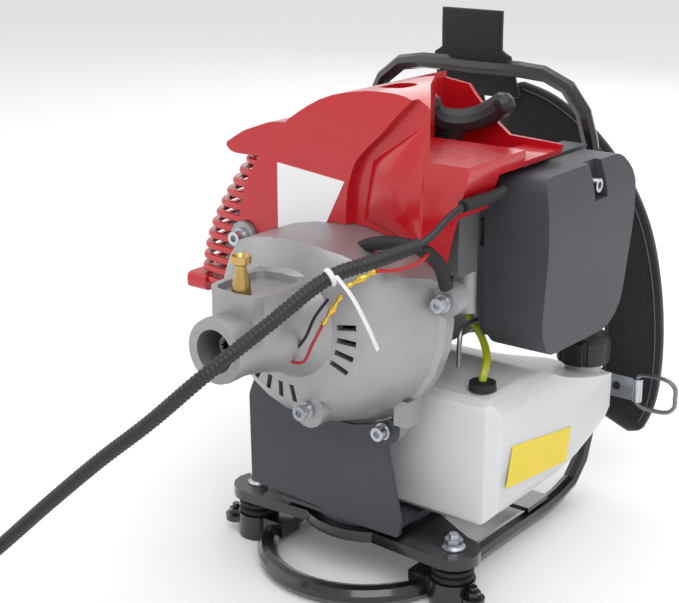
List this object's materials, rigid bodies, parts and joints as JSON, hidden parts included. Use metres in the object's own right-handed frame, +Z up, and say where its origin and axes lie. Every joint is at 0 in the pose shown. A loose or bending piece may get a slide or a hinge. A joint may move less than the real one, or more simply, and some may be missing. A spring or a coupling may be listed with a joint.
{
  "type": "backpack concrete vibrator power unit",
  "caption": "Small petrol engine with a clutch housing for a flexible poker shaft, on a swivel plate and rubber mounts in a bent tube backpack frame, with a throttle conduit and handle.",
  "frame": {"origin": "floor level, under the middle of the box round everything but the throttle conduit and its handle", "axes": "+Z up, -Y towards the output bore, +X towards the air cleaner"},
  "size_m": [0.4055, 0.5253, 0.329],
  "materials": {
    "frame_black": "gloss black paint on bent steel tube and pressed plate",
    "buffer_rubber": "moulded black rubber",
    "zinc_plated": "zinc plated steel fasteners and strap tab",
    "bracket_grey": "satin dark grey paint on pressed steel",
    "cast_alloy": "bead blasted die-cast aluminium alloy",
    "pin_brass": "yellow passivated turned pin",
    "bare_steel": "turned, pressed and bent steel",
    "cover_red": "glossy red injection moulding",
    "black_plastic": "black injection moulding",
    "cleaner_grey": "fine textured dark grey injection moulding",
    "filter_foam": "open cell foam",
    "tank_white": "translucent white blow moulding",
    "hose_yellow": "translucent yellow-green fuel hose",
    "webbing_black": "woven black webbing over foam padding"
  },
  "bodies": {
    "frame": {"front_loop": "frame_black", "hoop_frame": "frame_black", "cross_member": "frame_black", "mount_clamp_left": "frame_black", "mount_clamp_right": "frame_black", "buffer_left": "buffer_rubber", "buffer_right": "buffer_rubber", "buffer_rear": "buffer_rubber", "mounting_plate": "frame_black", "mount_nut_left": "zinc_plated", "mount_nut_right": "zinc_plated", "harness_yoke": "webbing_black", "shoulder_strap_right": "webbing_black", "shoulder_strap_left": "webbing_black", "strap_tab": "zinc_plated", "conduit_coil": "black_plastic", "conduit_tail": "black_plastic", "throttle_handle": "black_plastic"},
    "engine": {"engine_bracket": "bracket_grey", "fan_cover": "cast_alloy", "bolt_upper_left": "zinc_plated", "bolt_right": "zinc_plated", "bolt_bracket": "zinc_plated", "bolt_lower": "zinc_plated", "bolt_air_cleaner": "zinc_plated", "output_bearing": "bare_steel", "crankcase": "cast_alloy", "cylinder": "cast_alloy", "spark_plug": "bare_steel", "top_cover": "cover_red", "muffler": "bare_steel", "muffler_guard": "cover_red", "starter_case": "black_plastic", "insulator": "black_plastic", "carburettor": "cast_alloy", "cable_boot": "buffer_rubber", "air_cleaner_base": "cleaner_grey", "filter_element": "filter_foam", "air_cleaner_cover": "cleaner_grey", "fuel_tank": "tank_white", "tank_grommet": "buffer_rubber", "fuel_line": "hose_yellow", "throttle_conduit": "black_plastic"},
    "crank": {"crankshaft": "bare_steel", "flywheel_fan": "cast_alloy"},
    "clutch_drum": {"clutch_drum": "bare_steel"},
    "shoe_upper": {"clutch_shoe_upper": "bare_steel"},
    "shoe_lower": {"clutch_shoe_lower": "bare_steel"},
    "piston": {"piston": "cast_alloy"},
    "starter_pulley": {"starter_pulley": "black_plastic"},
    "starter_grip": {"starter_grip": "black_plastic"},
    "throttle_lever": {"throttle_lever": "bare_steel"},
    "choke_lever": {"choke_lever": "bare_steel"},
    "fuel_cap": {"fuel_cap": "black_plastic"},
    "locating_pin": {"locating_pin": "pin_brass"},
    "buckle_bail": {"buckle_bail": "bare_steel"},
    "throttle_trigger": {"throttle_trigger": "black_plastic"},
    "stop_switch": {"stop_switch": "cover_red"}
  },
  "joints": [
    {"name": "engine_swivel", "type": "hinge", "parent": "frame", "child": "engine", "pos_m": [0.0155, -0.0175, 0.038], "axis": [0, 0, 1], "range_deg": [-10, 5]},
    {"name": "crank_spin", "type": "hinge", "parent": "engine", "child": "crank", "pos_m": [0.0155, -0.0175, 0.177], "axis": [0, 1, 0], "continuous": true},
    {"name": "clutch_drum_spin", "type": "hinge", "parent": "engine", "child": "clutch_drum", "pos_m": [0.0155, -0.1175, 0.177], "axis": [0, 1, 0], "continuous": true},
    {"name": "shoe_upper_swing", "type": "hinge", "parent": "crank", "child": "shoe_upper", "pos_m": [0.0365, -0.0835, 0.186], "axis": [0, 1, 0], "range_deg": [0, 2], "stiffness_Nm_per_rad": 0.6},
    {"name": "shoe_lower_swing", "type": "hinge", "parent": "crank", "child": "shoe_lower", "pos_m": [-0.0055, -0.0835, 0.168], "axis": [0, 1, 0], "range_deg": [0, 2], "stiffness_Nm_per_rad": 0.6},
    {"name": "piston_slide", "type": "slide", "parent": "engine", "child": "piston", "axis": [0, 0, -1], "range_m": [0, 0.026]},
    {"name": "starter_pull", "type": "slide", "parent": "engine", "child": "starter_grip", "axis": [0.5, 0, 0.866], "range_m": [0, 0.6]},
    {"name": "pulley_spin", "type": "hinge", "parent": "engine", "child": "starter_pulley", "pos_m": [0.0155, 0.0725, 0.177], "axis": [0, 1, 0], "range_deg": [0, 1325]},
    {"name": "throttle_lever_turn", "type": "hinge", "parent": "engine", "child": "throttle_lever", "pos_m": [0.0635, -0.023, 0.206], "axis": [0, 1, 0], "range_deg": [0, 60]},
    {"name": "choke_turn", "type": "hinge", "parent": "engine", "child": "choke_lever", "pos_m": [0.0711, -0.0015, 0.16], "axis": [0, 1, 0], "range_deg": [0, 45]},
    {"name": "fuel_cap_turn", "type": "hinge", "parent": "engine", "child": "fuel_cap", "pos_m": [0.0915, 0.1105, 0.118], "axis": [0, 0, 1], "range_deg": [0, 350]},
    {"name": "pin_pull", "type": "slide", "parent": "engine", "child": "locating_pin", "axis": [0, 0, 1], "range_m": [0, 0.01], "stiffness_N_per_m": 150},
    {"name": "bail_swing", "type": "hinge", "parent": "frame", "child": "buckle_bail", "pos_m": [0.1165, 0.1435, 0.083], "axis": [0, 0, 1], "range_deg": [-60, 30]},
    {"name": "trigger_pull", "type": "hinge", "parent": "frame", "child": "throttle_trigger", "pos_m": [-0.1125, -0.3445, 0.016], "axis": [0, 0, 1], "range_deg": [0, 11], "stiffness_Nm_per_rad": 0.05},
    {"name": "switch_slide", "type": "slide", "parent": "frame", "child": "stop_switch", "axis": [1, 0, 0], "range_m": [0, 0.006]}
  ],
  "couplings": [
    {"joint": "pulley_spin", "follows": "starter_pull", "rad_per_m": 38.462},
    {"joint": "throttle_lever_turn", "follows": "trigger_pull", "ratio": 5}
  ]
}
